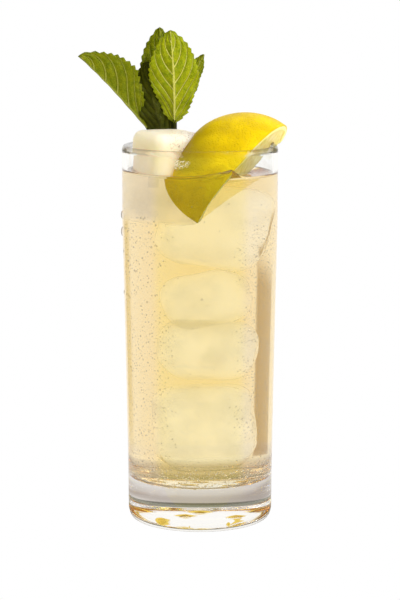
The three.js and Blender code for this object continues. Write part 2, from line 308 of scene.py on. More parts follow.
def turned_mesh(name, profile, segments=GLASS_SEGMENTS, move=None):
    """A closed mesh turned round Z, from points of [radius, height] that start and end on the axis."""
    vertices = []
    rings = []
    for radius, height in profile:
        if radius < 1e-6:
            rings.append([len(vertices)])
            vertices.append(Vector((0.0, 0.0, height)))
            continue
        rings.append(list(range(len(vertices), len(vertices) + segments)))
        for i in range(segments):
            angle = math.tau * i / segments
            vertices.append(Vector((radius * math.cos(angle), radius * math.sin(angle), height)))
    faces = []
    for low, high in zip(rings, rings[1:]):
        for i in range(segments):
            j = (i + 1) % segments
            if len(low) == 1:
                faces.append((low[0], high[j], high[i]))
            elif len(high) == 1:
                faces.append((low[i], low[j], high[0]))
            else:
                faces.append((low[i], low[j], high[j], high[i]))
    if move:
        vertices = [move(v) for v in vertices]
    mesh = bpy.data.meshes.new(name)
    mesh.from_pydata([v * MM for v in vertices], [], faces)
    mesh.shade_smooth()
    return mesh


def place(mesh, material, slot, node=None):
    """Shows a finished mesh as a piece of the drink, in its material, in place of a CAD node. The slot is
    not used.
    """
    piece = bpy.data.objects.new(mesh.name, mesh)
    SCENE.collection.objects.link(piece)
    mesh.materials.clear()
    mesh.materials.append(material)
    if node:
        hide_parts(node)
    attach(piece, "root")
    return piece


def press_dimples(point):
    """Lifts the underside into its dimples."""
    if point.z > 0.01 or point.xy.length > FOOT_RADIUS - 1:
        return point
    for count, ring in DIMPLE_RINGS:
        step = math.tau / count
        angle = (round(math.atan2(point.y, point.x) / step - 0.5) + 0.5) * step
        away = (point.xy - Vector((ring * math.cos(angle), ring * math.sin(angle)))).length
        if away < DIMPLE_RADIUS:
            point.z += DIMPLE_DEPTH * (1 - (away / DIMPLE_RADIUS) ** DIMPLE_POWER)
    return point


lip = WALL / 2
foot = [(FOOT_RADIUS * i / 92, 0.0) for i in range(92)]
heel = arc((FOOT_RADIUS, HEEL_HEIGHT), (HEEL_RADIUS - FOOT_RADIUS, HEEL_HEIGHT), -90, 0, 10)
side = [HEEL_HEIGHT + (GLASS_HEIGHT - LIP_HEIGHT - HEEL_HEIGHT) * i / 60 for i in range(1, 60)]
rim = arc((RIM_RADIUS - lip, GLASS_HEIGHT - LIP_HEIGHT), (lip, LIP_HEIGHT), 0, 180, 18)
inside = list(reversed(bore(GLASS_HEIGHT - LIP_HEIGHT - 1, 0.0)))
glass_profile = foot + heel + [(outer_radius(z), z) for z in side] + rim + inside

# Soda-lime glass, pressed and fire polished: clear and colourless, with mirror-smooth faces. The
# dimples show a painted gold reflection, the heel's far side has painted shade seen through the
# foot, and the lip is fainter.
GLASS_BEND = 1.5
LIP_FROM = GLASS_HEIGHT - LIP_HEIGHT
LIP_BEND = 1.3
LIP_FAINTNESS = 0.6
DARK_HEEL_FROM = 0.2
DARK_HEEL_TO = 2.8
DARK_HEEL_FADE = 0.6
soda_lime_glass, tree = new_material("soda_lime_glass")
place_in_mm = place_in_millimetres(tree)
spot = add_node(tree, "ShaderNodeSeparateXYZ", {0: place_in_mm})
lifted = eased(tree, spot.outputs["Z"], 0.03, 0.3)
pressed = maths(tree, "LESS_THAN", spot.outputs["Z"], DIMPLE_DEPTH + 0.1)
from_axis = add_node(
    tree, "ShaderNodeVectorMath", {0: place_in_mm, 1: (1.0, 1.0, 0.0)}, operation="MULTIPLY"
)
from_axis = add_node(tree, "ShaderNodeVectorMath", {0: from_axis.outputs[0]}, operation="LENGTH")
within = maths(tree, "LESS_THAN", from_axis.outputs["Value"], FOOT_RADIUS - 2)
dimpled = maths(tree, "MULTIPLY", lifted, pressed)
dimpled = maths(tree, "MULTIPLY", dimpled, within)
# Painted shade: to rays that passed through the glass, the heel's outside 0.2 to 2.8 mm up turns dark
# olive.
through = add_node(tree, "ShaderNodeLightPath").outputs["Is Transmission Ray"]
heel_foot = eased(tree, spot.outputs["Z"], DARK_HEEL_FROM, DARK_HEEL_FROM + DARK_HEEL_FADE)
heel_top = eased(tree, spot.outputs["Z"], DARK_HEEL_TO, DARK_HEEL_TO - DARK_HEEL_FADE)
outside = maths(tree, "GREATER_THAN", from_axis.outputs["Value"], FOOT_RADIUS + 0.3)
painted_heel_shade = maths(tree, "MULTIPLY", heel_foot, heel_top)
painted_heel_shade = maths(tree, "MULTIPLY", painted_heel_shade, outside)
painted_heel_shade = maths(tree, "MULTIPLY", painted_heel_shade, through)
tint = mixed_colour(tree, painted_heel_shade, linear("#FCFEFE"), linear("#45473A"))
bend = ranged(tree, spot.outputs["Z"], LIP_FROM - 1.0, LIP_FROM, GLASS_BEND, LIP_BEND)
shader = add_node(tree, "ShaderNodeBsdfPrincipled", {
    "Base Color": tint, "Roughness": 0.0, "IOR": bend, "Transmission Weight": 1.0,
})
# Painted reflection: the dimples mirror a fixed gold colour, standing in for the drink seen in them.
painted_gold_reflection = add_node(tree, "ShaderNodeBsdfGlossy", {"Color": linear("#F2D468"), "Roughness": 0.15})
base = mixed_shader(tree, dimpled, shader.outputs[0], painted_gold_reflection.outputs[0])
on_lip = ranged(tree, spot.outputs["Z"], LIP_FROM - 0.8, LIP_FROM, 0.0, LIP_FAINTNESS)
faint = see_through(tree)
body = mixed_shader(tree, on_lip, base, faint)
dress(tree, body)
place(turned_mesh("highball_glass", glass_profile, move=press_dimples), soda_lime_glass, "glass", "glass")

# Ice: blocks 23 to 37 mm a side, frozen clear and rounded by melting, with an uneven wet skin.
# One stands out of the drink beside the lemon and the others are sunk below it.
ICE_ROUND = 4.5
ICE_CELLS = 22
MELT_DEPTH = 0.5
MELT_SIZE = 9.0
TOP_ICE = ("ice_block", (-13.4, 4.6, 143.7), (12.6, 12.2, 18.6), (2, 2, 30), 1)
SUNK_ROUND = 9.0
SUNK_ICE = (
    ("sunk_ice_high", (5.0, 1.0, 124.0), (17.0, 12.0, 17.0), (4, 12, 10), 2),
    ("sunk_ice_upper", (1.5, 2.0, 93.5), (13.5, 12.0, 11.6), (-3, -14, -8), 3),
    ("sunk_ice_middle", (2.5, -0.5, 72.5), (15.5, 13.0, 12.0), (3, 2, 6), 6),
    ("sunk_ice_low", (1.5, 0.0, 39.5), (15.5, 13.5, 17.8), (2, -2, 5), 4),
)


def ice_mesh(name, centre, half, turns, seed, grow=0.0, edge=ICE_ROUND):
    """A melted block, larger all round by grow."""
    mesh = bpy.data.meshes.new(name)
    form = bmesh.new()
    bmesh.ops.create_cube(form, size=2.0)
    bmesh.ops.subdivide_edges(form, edges=form.edges[:], cuts=ICE_CELLS - 1, use_grid_fill=True)
    round_size = edge + grow
    core = [h + grow - round_size for h in half]
    turn = Euler([math.radians(a) for a in turns], "XYZ").to_matrix()
    shift = Vector((17.3 * seed, 5.1 * seed, 0.0))
    for vertex in form.verts:
        point = Vector([math.sin(c * math.pi / 2) * (h + grow) for c, h in zip(vertex.co, half)])
        inner = Vector([max(-k, min(k, c)) for c, k in zip(point, core)])
        out = (point - inner).normalized()
        melt = noise.noise((point + shift) / MELT_SIZE)
        melt += 0.35 * noise.noise((point + shift) / (0.35 * MELT_SIZE))
        vertex.co = (turn @ (inner + out * (round_size + MELT_DEPTH * melt - 0.2)) + Vector(centre)) * MM
    form.to_mesh(mesh)
    form.free()
    mesh.shade_smooth()
    return mesh


# Lemon: a quarter of a lemon, slit and pushed onto the rim, with one end in the drink. Waxy
# yellow zest dotted with oil glands, a pale pith under it, and juice sacs on the two cut faces.
LEMON_SUNK_END = Vector((-1.0, -18.4, 127.0))
LEMON_HANGING_END = Vector((35.1, 22.0, 156.8))
LEMON_RADIUS = 27.4
LEMON_WIDEST = 0.54
LEMON_SUNK_POWERS = (2.12, 0.4)
LEMON_HANGING_POWERS = (1.7, 0.5)
LEMON_NUB_RADIUS = 6.0
LEMON_NUB_FROM = 0.93
WEDGE_ANGLE = math.radians(92)
WEDGE_ROLL = math.radians(10.7)
PITH_FROM = 0.6
FLESH_FROM = 3.4
LEMON_STATIONS = 110
LEMON_ARC_CELLS = 80
LEMON_FACE_CELLS = 34
SLIT_GAP = 0.1

lemon_core = LEMON_HANGING_END - LEMON_SUNK_END
lemon_length = lemon_core.length
lemon_along = lemon_core.normalized()
lemon_front = Vector((0, -1, 0.17))
lemon_front = (lemon_front - lemon_along * lemon_front.dot(lemon_along)).normalized()
lemon_up = lemon_along.cross(lemon_front)
if lemon_up.z < 0:
    lemon_up.negate()


def lemon_radius(t):
    sunk = t < LEMON_WIDEST
    along = (LEMON_WIDEST - t) / LEMON_WIDEST if sunk else (t - LEMON_WIDEST) / (1 - LEMON_WIDEST)
    power, bluntness = LEMON_SUNK_POWERS if sunk else LEMON_HANGING_POWERS
    body = LEMON_RADIUS * max(0.0, 1 - along ** power) ** bluntness
    if t <= LEMON_NUB_FROM:
        return body
    nub = LEMON_NUB_RADIUS * math.sqrt(max(0.0, 1 - ((t - LEMON_NUB_FROM) / (1 - LEMON_NUB_FROM)) ** 2))
    return max(body, nub)


def lemon_point(t, share, angle):
    """A point of the wedge: t along the core, share of the way out to the zest, angle round the core."""
    out = lemon_front * math.cos(angle) + lemon_up * math.sin(angle)
    return LEMON_SUNK_END + lemon_along * (t * lemon_length) + out * (lemon_radius(t) * share)


def rind_depth(t, share):
    """Millimetres from a point of a cut face to the zest, also past the two ends."""
    radius = lemon_radius(t)
    inwards = radius * (1 - share)
    return min(inwards, 1.15 * t * lemon_length + 0.6, 1.15 * (1 - t) * lemon_length + 0.6)


def lemon_mesh(name, stations, arc_cells, face_cells, grow=0.0):
    """The wedge, larger all round by grow, with its rind depth and its place in the fruit at each point."""
    vertices = []
    depths = []
    places = []
    rings = []
    last = WEDGE_ROLL + WEDGE_ANGLE
    for i in range(stations + 1):
        t = 0.003 + 0.994 * (1 - math.cos(math.pi * i / stations)) / 2
        ring = []
        path = [(k / face_cells, WEDGE_ROLL) for k in range(face_cells)]
        path += [(1.0, WEDGE_ROLL + WEDGE_ANGLE * k / arc_cells) for k in range(arc_cells + 1)]
        path += [(k / face_cells, last) for k in range(face_cells - 1, 0, -1)]
        for share, angle in path:
            point = lemon_point(t, share, angle)
            depth = rind_depth(t, share)
            on_arc = share == 1.0
            if not on_arc and depth > FLESH_FROM:
                sac_spot = (t * lemon_length * 0.9, share * lemon_radius(t) * 0.32, angle * 9)
                sac = noise.noise(Vector(sac_spot))
                face = -lemon_up if angle == WEDGE_ROLL else lemon_front * -1
                point += face * (0.35 * sac - 0.15) * min(1.0, (depth - FLESH_FROM) / 1.2)
            ring.append(len(vertices))
            vertices.append(point)
            depths.append(0.0 if on_arc else depth)
            places += (t * lemon_length, share * lemon_radius(t), math.degrees(angle))
        rings.append(ring)
    faces = []
    count = len(rings[0])
    for low, high in zip(rings, rings[1:]):
        for j in range(count):
            k = (j + 1) % count
            faces.append((low[j], low[k], high[k], high[j]))
    for ring in (rings[0], rings[-1]):
        middle = len(vertices)
        vertices.append(sum((vertices[v] for v in ring), Vector()) / count)
        depths.append(0.0)
        places += places[3 * ring[0]:3 * ring[0] + 3]
        for j in range(count):
            faces.append((ring[j], ring[(j + 1) % count], middle))
    mesh = bpy.data.meshes.new(name)
    mesh.from_pydata([v * MM for v in vertices], [], faces)
    layer = mesh.attributes.new("rind_depth", "FLOAT", "POINT")
    layer.data.foreach_set("value", depths)
    layer = mesh.attributes.new("fruit_place", "FLOAT_VECTOR", "POINT")
    layer.data.foreach_set("vector", places)
    form = bmesh.new()
    form.from_mesh(mesh)
    bmesh.ops.recalc_face_normals(form, faces=form.faces)
    form.normal_update()
    for vertex in form.verts:
        vertex.co += vertex.normal * grow * MM
    form.to_mesh(mesh)
    form.free()
    mesh.shade_smooth()
    return mesh


def carve(mesh, cutters, operation="DIFFERENCE"):
    """Cuts a mesh with others, one after another, and returns the result as a plain mesh."""
    body = bpy.data.objects.new(mesh.name + "_body", mesh)
    SCENE.collection.objects.link(body)
    tools = []
    for cutter in cutters:
        tool = bpy.data.objects.new("cutter", cutter)
        SCENE.collection.objects.link(tool)
        tools.append(tool)
        cut = body.modifiers.new("cut", "BOOLEAN")
        cut.operation = operation
        cut.solver = "EXACT"
        cut.material_mode = "TRANSFER"
        cut.object = tool
    done = bpy.data.meshes.new_from_object(body.evaluated_get(bpy.context.evaluated_depsgraph_get()))
    done.name = mesh.name
    for item in [body] + tools:
        bpy.data.objects.remove(item)
    return done


def rim_room(clearance):
    """The room that the upper wall of the glass takes up, as a closed ring."""
    heights = [90 + (GLASS_HEIGHT - 90) * i / 12 for i in range(13)]
    outside = [(outer_radius(z) + clearance, z) for z in heights]
    inside = [(inner_radius(z) - clearance, z) for z in reversed(heights)]
    top = arc((RIM_RADIUS - lip, GLASS_HEIGHT), (lip + clearance, clearance), 10, 170, 6)
    ring = outside + top + inside
    segments = GLASS_SEGMENTS
    vertices = []
    faces = []
    for i in range(segments):
        angle = math.tau * i / segments
        vertices += [(r * math.cos(angle) * MM, r * math.sin(angle) * MM, z * MM) for r, z in ring]
        for j in range(len(ring)):
            a, b = i * len(ring), ((i + 1) % segments) * len(ring)
            k = (j + 1) % len(ring)
            faces.append((a + j, b + j, b + k, a + k))
    mesh = bpy.data.meshes.new("rim_room")
    mesh.from_pydata(vertices, [], faces)
    return mesh


def mesh_value(tree, name, output="Fac"):
    """What a mesh holds under a name at each of its points or faces."""
    kind = "ShaderNodeAttribute"
    return add_node(tree, kind, attribute_name=name, attribute_type="GEOMETRY").outputs[output]


# Lemon, sliced: satin yellow zest with glands a millimetre apart, cream pith that drinks light,
# and flesh of stretched juice sacs, wet and lit from within by what shines through the zest.
DRINK_LEVEL = 145.0
fresh_lemon, tree = new_material("fresh_lemon")
place_in_mm = place_in_millimetres(tree)
depth = mesh_value(tree, "rind_depth")
fruit_place = mesh_value(tree, "fruit_place", "Vector")
glands = add_node(tree, "ShaderNodeTexVoronoi", {"Vector": place_in_mm, "Scale": 1.05})
blotch = add_node(tree, "ShaderNodeTexNoise", {"Vector": place_in_mm, "Scale": 0.12, "Detail": 4.0})
zest = add_node(
    tree, "ShaderNodeValToRGB", {"Fac": blotch.outputs["Fac"]},
    stops=[(0.35, linear("#D9B800")), (0.65, linear("#F0D000"))],
)
sac_place = add_node(
    tree, "ShaderNodeVectorMath", {0: fruit_place, 1: (0.75, 0.22, 0.3)}, operation="MULTIPLY"
)
sacs = add_node(
    tree, "ShaderNodeTexVoronoi", {"Vector": sac_place.outputs[0], "Scale": 1.0}, feature="SMOOTH_F1",
)
flesh = add_node(
    tree, "ShaderNodeValToRGB", {"Fac": sacs.outputs["Distance"]},
    stops=[(0.1, linear("#E8CD5C")), (0.75, linear("#FBEFA6"))],
)
under_zest = eased(tree, depth, PITH_FROM, PITH_FROM + 0.6)
under_pith = eased(tree, depth, FLESH_FROM - 0.8, FLESH_FROM)
pores = eased(tree, glands.outputs["Distance"], 0.1, 0.45, 0.86, 1.03)
spot = add_node(tree, "ShaderNodeSeparateXYZ", {0: place_in_mm})
# Painted light and shade by height: zest darker from 11 mm above the drink, lighter in the drink.
painted_height_light = ranged(tree, spot.outputs["Z"], DRINK_LEVEL + 11, DRINK_LEVEL + 1, 0.86, 1.2)
zest_level = maths(tree, "MULTIPLY", pores, painted_height_light)
# Painted shade: above the drink the zest turns dark olive towards its left end, away from the light.
to_left = eased(tree, spot.outputs["X"], 10.0, -8.0)
out_of_drink = ranged(tree, spot.outputs["Z"], DRINK_LEVEL + 0.5, DRINK_LEVEL + 4, 0.0, 0.8)
painted_left_shade = maths(tree, "MULTIPLY", to_left, out_of_drink)
zest_with_painted_shade = mixed_colour(tree, painted_left_shade, zest.outputs[0], linear("#988600"))
dotted_zest = scaled(tree, zest_with_painted_shade, zest_level)
rind = mixed_colour(tree, under_zest, dotted_zest, linear("#FFF3AC"))
whole = mixed_colour(tree, under_pith, rind, flesh.outputs[0])
pits = ranged(tree, glands.outputs["Distance"], 0.0, 0.5)
relief = add_node(
    tree, "ShaderNodeMix", {0: under_pith, 2: pits, 3: sacs.outputs["Distance"]},
    data_type="FLOAT",
)
bump = add_node(tree, "ShaderNodeBump", {"Height": relief.outputs[0], "Strength": 0.6, "Distance": 0.0003})
gloss = ranged(tree, under_zest, 0.0, 1.0, 0.4, 0.3)
lit_through = ranged(tree, under_zest, 0.0, 1.0, 0.1, 1.0)
shader = add_node(tree, "ShaderNodeBsdfPrincipled", {
    "Base Color": whole, "Roughness": gloss, "IOR": 1.4, "Normal": bump.outputs[0],
    "Specular IOR Level": 0.08, "Subsurface Weight": lit_through, "Subsurface Radius": (1.0, 0.85, 0.35),
    "Subsurface Scale": 0.009,
})
soaked = ranged(tree, spot.outputs["Z"], DRINK_LEVEL + 2, DRINK_LEVEL - 2, 0.15, 0.93)
inside = add_node(tree, "ShaderNodeNewGeometry").outputs["Backfacing"]
thin = maths(tree, "MAXIMUM", under_pith, inside)
juicy = maths(tree, "MULTIPLY", thin, soaked)
clear = see_through(tree, "#FFFBE4")
body = mixed_shader(tree, juicy, shader.outputs[0], clear)
dress(tree, body)

wedge = lemon_mesh("lemon_wedge", LEMON_STATIONS, LEMON_ARC_CELLS, LEMON_FACE_CELLS)
wedge = carve(wedge, [rim_room(SLIT_GAP)])
place(wedge, fresh_lemon, "lemon", "lemon_wedge")

# Drink: pale ginger beer and spirit, filled to 12 mm under the rim. One body of liquid that
# wets the wall, climbs it in a small meniscus, and closes round the ice.
MENISCUS_RISE = 1.6
MENISCUS_WIDTH = 1.5
SURFACE_LEAN = -0.02
CLIMB_HEIGHT = 3.0
CLIMB_FROM = -12.0
CLIMB_TO = 12.5
CLIMB_END = 19.0
WALL_REACH = 0.1


def lift_surface(point):
    """Leans the surface a little and draws it up where the wedge nearly touches the front wall."""
    if point.z < DRINK_LEVEL - 0.5:
        return point
    near_wall = math.exp((point.xy.length - inner_radius(DRINK_LEVEL)) / MENISCUS_WIDTH)
    climb = 0.0
    if point.y < 0 and CLIMB_FROM < point.x < CLIMB_TO:
        climb = ((point.x - CLIMB_FROM) / (CLIMB_TO - CLIMB_FROM)) ** 2
    elif point.y < 0 and CLIMB_TO <= point.x < CLIMB_END:
        climb = ((CLIMB_END - point.x) / (CLIMB_END - CLIMB_TO)) ** 2
    point.z += SURFACE_LEAN * point.x + CLIMB_HEIGHT * climb * near_wall
    return point


surface_radii = [30.0 - 30.0 * (i / 26) ** 0.55 for i in range(27)]
drink_top = [
    (r, DRINK_LEVEL + MENISCUS_RISE * math.exp((r - inner_radius(DRINK_LEVEL)) / MENISCUS_WIDTH))
    for r in surface_radii
]
drink_top[-1] = (0.0, DRINK_LEVEL)
drink_profile = bore(DRINK_LEVEL - 1, WALL_REACH)
wetted = inner_radius(DRINK_LEVEL) + WALL_REACH
drink_profile += [(wetted, DRINK_LEVEL + MENISCUS_RISE * k) for k in (0.0, 0.5, 1.03)]
drink_mesh = turned_mesh("ginger_drink", drink_profile + drink_top, move=lift_surface)


def bore_room(reach):
    """The room inside the glass, also above its rim."""
    tall = bore(GLASS_HEIGHT + 35, reach)
    return turned_mesh("bore_room", tall + [(0.0, tall[-1][1])])


# Ginger beer: clear and thin as water, straw-yellow through the depth of the glass, because it
# takes out blue about three times as fast as green. Against ice its surface hardly bends light.
STRAW_COLOUR = (0.925, 0.725, 0.23, 1.0)
STRAW_DENSITY = 24.0
DRINK_BEND = 1.333
ICE_BEND = 1.006
ginger_beer, tree = new_material("ginger_beer")
bend = mesh_value(tree, "bend")
shader = add_node(tree, "ShaderNodeBsdfPrincipled", {
    "Base Color": linear("#FFFFFF"), "Roughness": 0.0, "IOR": bend, "Transmission Weight": 1.0,
})
straw = add_node(tree, "ShaderNodeVolumeAbsorption", {"Color": STRAW_COLOUR, "Density": STRAW_DENSITY})
dress(tree, shader.outputs[0], straw.outputs[0])


def ice_material(name, haze, tint, in_air):
    """Ice tinted by the drink, milky with trapped air, and rough and wet where it is in air."""
    material, tree = new_material(name)
    place_in_mm = place_in_millimetres(tree)
    ripple = add_node(tree, "ShaderNodeTexNoise", {"Vector": place_in_mm, "Scale": 0.12, "Detail": 3.0})
    skin = add_node(
        tree, "ShaderNodeBump", {"Height": ripple.outputs["Fac"], "Strength": 0.5, "Distance": 0.0012},
    )
    crackle = add_node(
        tree, "ShaderNodeTexVoronoi", {"Vector": place_in_mm, "Scale": 0.2},
        feature="DISTANCE_TO_EDGE",
    )
    crack = ranged(tree, crackle.outputs["Distance"], 0.0, 0.05)
    air = mixed_colour(tree, crack, linear("#CDBFAE"), linear("#FFF6E2"))
    front = add_node(tree, "ShaderNodeBsdfDiffuse", {"Color": air, "Normal": skin.outputs[0]})
    behind = add_node(tree, "ShaderNodeBsdfTranslucent", {"Color": air})
    milk = mixed_shader(tree, 0.8, front.outputs[0], behind.outputs[0])
    clear = see_through(tree)
    if in_air:
        fibre = add_node(
            tree, "ShaderNodeTexNoise",
            {"Vector": place_in_mm, "Scale": 0.3, "Detail": 1.0, "Distortion": 2.0},
        )
        off_line = maths(tree, "COMPARE", fibre.outputs["Fac"], 0.5, 0.012)
        spot = add_node(tree, "ShaderNodeSeparateXYZ", {0: place_in_mm})
        patch = eased(tree, spot.outputs["X"], -15.0, -9.0)
        line = maths(tree, "MULTIPLY", off_line, patch)
        lined = mixed_colour(tree, line, linear("#FFF1DA"), linear("#7C7052"))
        # Painted glow: the ice in air emits warm light, full up to 5 mm above the drink, 0.4 by 15 mm.
        painted_glow = ranged(tree, spot.outputs["Z"], DRINK_LEVEL + 5, DRINK_LEVEL + 15, 1.0, 0.4)
        wet = add_node(tree, "ShaderNodeBsdfPrincipled", {
            "Base Color": lined, "Roughness": 0.4, "IOR": 1.31, "Transmission Weight": 0.15,
            "Subsurface Weight": 1.0, "Subsurface Radius": (1.0, 0.9, 0.7), "Subsurface Scale": 0.012,
            "Normal": skin.outputs[0], "Emission Color": (0.22, 0.14, 0.09, 1.0),
            "Emission Strength": painted_glow,
        })
        unleaned = maths(tree, "MULTIPLY_ADD", spot.outputs["X"], -SURFACE_LEAN, spot.outputs["Z"])
        above = maths(tree, "GREATER_THAN", unleaned, DRINK_LEVEL)
        clear = mixed_shader(tree, above, clear, wet.outputs[0])
    cloud = add_node(tree, "ShaderNodeTexNoise", {"Vector": place_in_mm, "Scale": 0.07, "Detail": 3.0})
    milky = eased(tree, cloud.outputs["Fac"], 0.42, 0.62, 0.0, haze)
    body = mixed_shader(tree, milky, clear, milk)
    straw = add_node(tree, "ShaderNodeVolumeAbsorption", {"Color": tint, "Density": 20.0})
    dress(tree, body, straw.outputs[0])
    return material


# Sunk ice: clear, a little paler than the drink, with faint milk. The drink's own surface
# against it bends light a very little, which draws its outline.
sunk_ice = ice_material("sunk_ice", 0.1, (0.99, 0.97, 0.93, 1.0), in_air=False)
# Standing ice: milkier, and rough and wet where it stands out of the drink, with a painted warm glow there.
standing_ice = ice_material("standing_ice", 0.13, (0.62, 0.46, 0.24, 1.0), in_air=True)


ICE_CLEARANCE = 0.15
SKIN_GAP = 0.05


def lemon_room(grow):
    return lemon_mesh("lemon_room", 40, 24, 6, grow=grow)


def standing_block(grow):
    """The top block, fitted to the wall of the glass and to the lemon."""
    inside = ice_mesh("standing_ice", *TOP_ICE[1:], grow=grow)
    inside = carve(inside, [bore_room(grow - ICE_CLEARANCE)], "INTERSECT")
    return carve(inside, [lemon_room(ICE_CLEARANCE - grow)])


def sunk_block(block, grow):
    """A sunk block, less the room of the lemon and the top block."""
    wedge_room = lemon_room(ICE_CLEARANCE - grow)
    top_room = ice_mesh("room", *TOP_ICE[1:], grow=2 * ICE_CLEARANCE - grow)
    return carve(ice_mesh(*block, grow=grow, edge=SUNK_ROUND), [wedge_room, top_room])


hollow_mark = bpy.data.materials.new("hollow_mark")
hollows = [standing_block(SKIN_GAP)] + [sunk_block(block, SKIN_GAP) for block in SUNK_ICE]
for hollow in hollows:
    hollow.materials.clear()
    hollow.materials.append(hollow_mark)
drink_mesh.materials.append(ginger_beer)
drink_mesh = carve(drink_mesh, hollows)
against_ice = [face.material_index > 0 for face in drink_mesh.polygons]
bends = [ICE_BEND if ice else DRINK_BEND for ice in against_ice]
drink_mesh.attributes.new("bend", "FLOAT", "FACE").data.foreach_set("value", bends)
drink_mesh.polygons.foreach_set("material_index", [0] * len(bends))
drink_mesh.shade_smooth()
place(drink_mesh, ginger_beer, "drink", "drink")
ice_top = standing_block(0.0)
ice_top.shade_smooth()
place(ice_top, standing_ice, "ice", "ice_block")
for block in SUNK_ICE:
    mesh = sunk_block(block, 0.0)
    mesh.shade_smooth()
    place(mesh, sunk_ice, "ice")

# Mint: one sprig with its stem in the drink behind the ice. Soft, toothed leaves with sunk
# veins and puckered blades, paler underneath, which is the side that the front leaf shows.
STEM_RADIUS = 1.3
STEM_ROUTE = ((-11.2, 22.0, 138.0), (-11.0, 21.8, 152.0), (-10.9, 20.4, 167.0))
PETIOLE_RADIUS = 0.9
LEAF_THICKNESS = 0.4
LEAF_TEETH = 16
TOOTH_CELLS = 6
LEAF_CELLS = 18
LEAF_WIDEST = 0.5
LEAF_TIP_POWER = 0.75
LEAF_HEEL = 0.1
TOOTH_DEPTH = 0.048
VEIN_SPACING = 0.17
VEIN_LEAN = 0.46
VEIN_CURVE = 1.35
PUCKER = 0.42
# Last value per leaf: 1 is the pale underside; lower ones add painted shade, darkest on the inner leaf.
LEAVES = {
    "front": dict(
        petiole=((-11.0, 21.2, 158.0), (-10.9, 19.6, 166.0)),
        midrib=((-10.9, 19.8, 164.5), (-10.2, 14.5, 182.6), (-12.4, 13.0, 203.3)),
        side=(1.0, 0.0, 0.0), half_width=10.7, narrowing=(0.75, 0.58),
        folds=(-10, -14), wave=0.5, paleness_and_shade=1.0,
    ),
    "rear": dict(
        petiole=((-11.6, 22.3, 150.0), (-15.5, 24.0, 161.0)),
        midrib=((-14.4, 24.0, 159.5), (-17.2, 26.0, 181.9), (-16.9, 21.0, 204.2)),
        side=(1.0, 0.25, 0.0), half_width=9.0, narrowing=(0.7, 0.7),
        folds=(-12, -12), wave=0.8, paleness_and_shade=0.6,
    ),
    "left": dict(
        petiole=((-11.8, 22.0, 149.0), (-22.0, 22.6, 162.0)),
        midrib=((-21.6, 22.8, 161.4), (-36.9, 18.4, 179.0), (-50.0, 11.2, 193.0)),
        side=(0.72, 0.1, 0.69), half_width=13.4, narrowing=(0.85, 0.95),
        folds=(-108, 6), wave=0.6, paleness_and_shade=0.54,
    ),
    "right": dict(
        petiole=((-11.0, 21.6, 157.0), (-11.4, 23.0, 166.0)),
        midrib=((-11.4, 22.9, 165.0), (-6.5, 26.5, 178.0), (1.5, 25.0, 192.8)),
        side=(0.85, 0.3, -0.4), half_width=4.8, narrowing=(0.7, 0.7),
        folds=(-14, -14), wave=0.4, paleness_and_shade=0.75,
    ),
    "inner": dict(
        petiole=((-12.0, 22.2, 151.0), (-15.2, 20.1, 160.6)),
        midrib=((-14.6, 20.4, 158.0), (-20.2, 18.0, 174.0), (-22.6, 19.5, 190.0)),
        side=(0.95, -0.05, 0.25), half_width=8.0, narrowing=(0.25, 0.3),
        folds=(-16, -12), wave=0.7, paleness_and_shade=0.08,
    ),
}


def leaf_half_width(t, narrowing):
    """Half width of a mint leaf along its midrib, as a share of the widest."""
    if t > LEAF_WIDEST:
        return max(0.0, 1 - ((t - LEAF_WIDEST) / (1 - LEAF_WIDEST)) ** 2) ** LEAF_TIP_POWER
    heel = min(1.0, t / LEAF_HEEL) ** 0.5
    return (1 - narrowing * ((LEAF_WIDEST - t) / LEAF_WIDEST) ** 1.1) * heel


def vein_phase(t, across):
    """Counts the side veins passed at a place on the blade, which lean forward and curve up."""
    start = 0.8 if across < 0 else 0.35
    return (t - VEIN_LEAN * abs(across) ** VEIN_CURVE) / VEIN_SPACING + start


